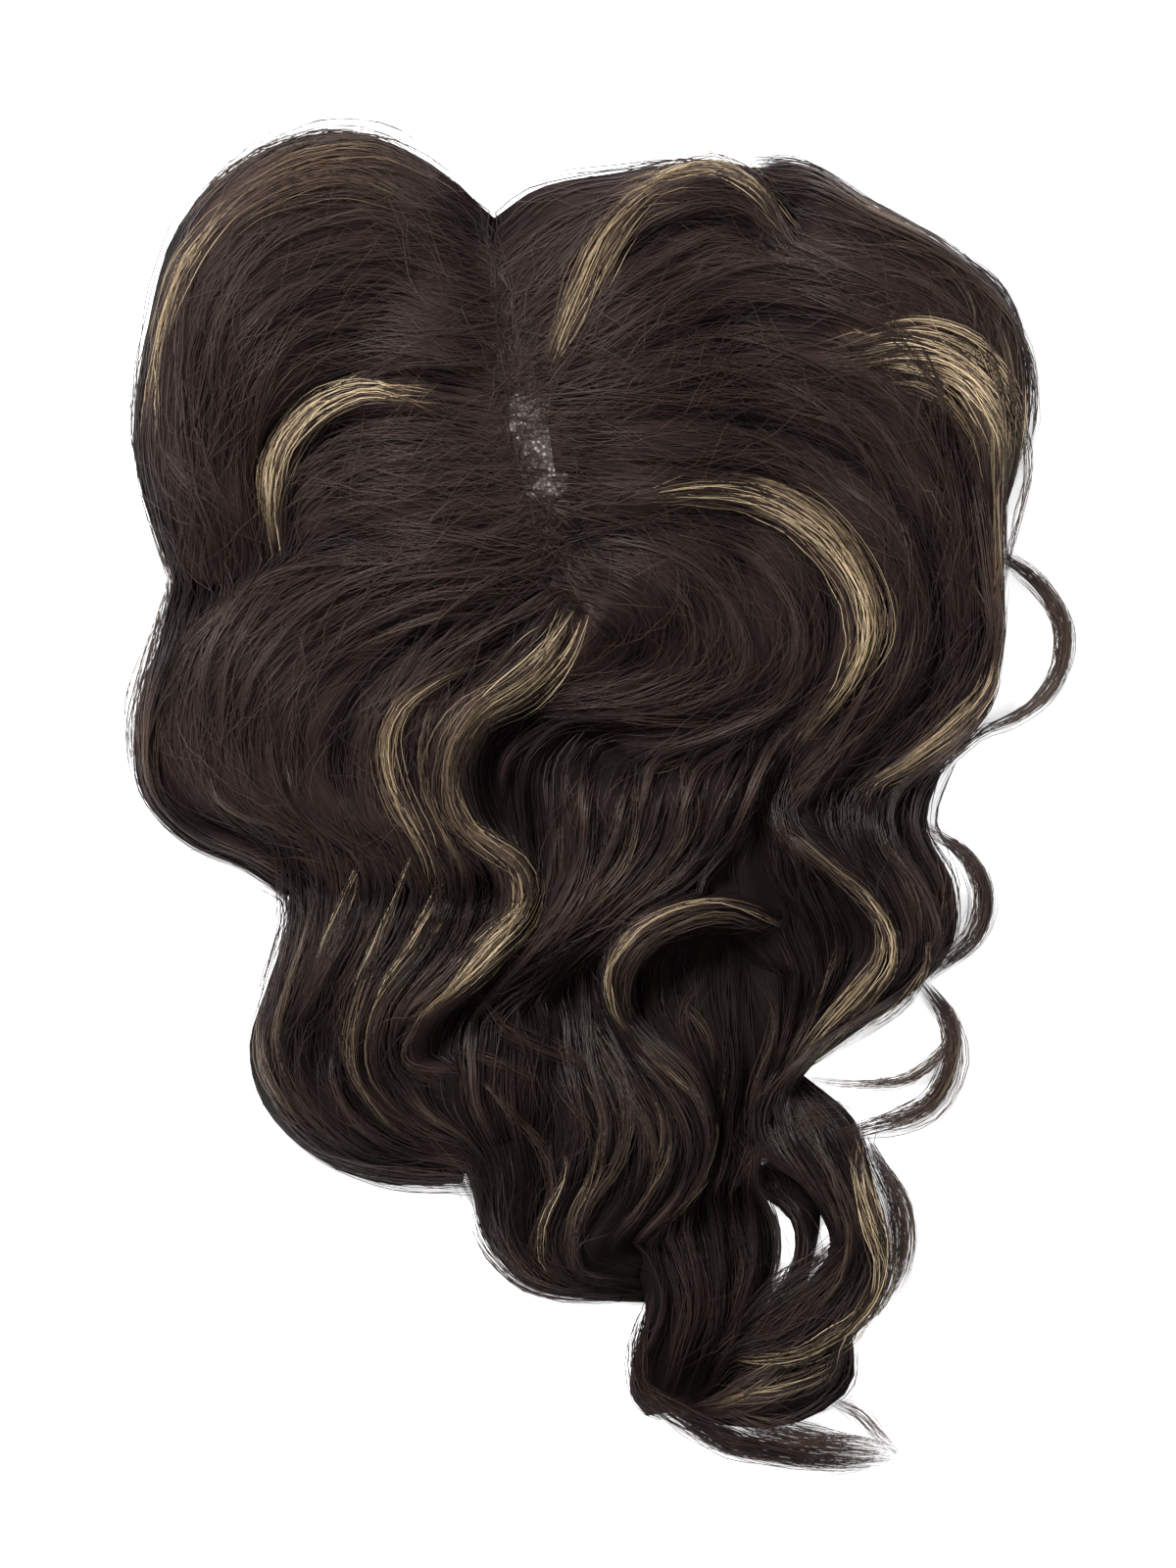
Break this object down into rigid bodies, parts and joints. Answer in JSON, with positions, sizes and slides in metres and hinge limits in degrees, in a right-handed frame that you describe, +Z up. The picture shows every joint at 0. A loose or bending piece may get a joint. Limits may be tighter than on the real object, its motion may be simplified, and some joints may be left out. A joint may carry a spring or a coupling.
{
  "type": "hair topper",
  "caption": "Wavy brown hair topper with blond streaks, parted at the front over an oval lace base with snap clips, lying flat with its locks fanned out.",
  "frame": {"origin": "on the surface it lies on, under the middle of the whole piece", "axes": "+Z up from the surface, +Y towards the front hairline, +X to the right seen from above"},
  "size_m": [0.2866, 0.4094, 0.0336],
  "materials": {
    "hair_brown": "fine hair, satin",
    "hair_blond": "fine hair, satin",
    "lace": "fine net",
    "clip": "satin lacquer"
  },
  "bodies": {
    "root": {"lace_base": "lace", "clip_front": "clip", "clip_back": "clip", "clip_left": "clip", "clip_right": "clip", "ringlet": "hair_blond", "centre_left_lock": "hair_blond", "right_blond_lock": "hair_blond", "front_right_roll": "hair_blond", "right_edge_lock": "hair_blond", "inner_left_arc": "hair_blond", "right_lower_blond": "hair_blond", "tail_tip": "hair_blond", "left_wave": "hair_brown", "left_inner": "hair_brown", "lower_left_inner": "hair_brown", "lower_left_outer": "hair_brown", "centre_swirl": "hair_brown", "right_inner_lock": "hair_brown", "right_wave": "hair_brown", "right_crown_lobe": "hair_brown", "right_mid": "hair_brown", "front_right_edge": "hair_brown", "front_left_roll": "hair_brown", "left_crown": "hair_brown", "left_outer": "hair_brown", "right_turn": "hair_brown", "centre_fall": "hair_brown", "tail_right": "hair_brown", "tail_inner": "hair_brown", "lower_mid": "hair_brown", "hollow_bed": "hair_brown", "lower_centre": "hair_brown", "lower_left_lobe": "hair_brown", "lower_left_bed": "hair_brown", "centre_hollow": "hair_brown", "tail_mid": "hair_brown", "bottom_wisp": "hair_brown", "wisp_upper_right": "hair_brown", "wisp_mid_right": "hair_brown", "wisp_low_right": "hair_brown", "wisp_tail_right": "hair_brown"}
  },
  "joints": []
}
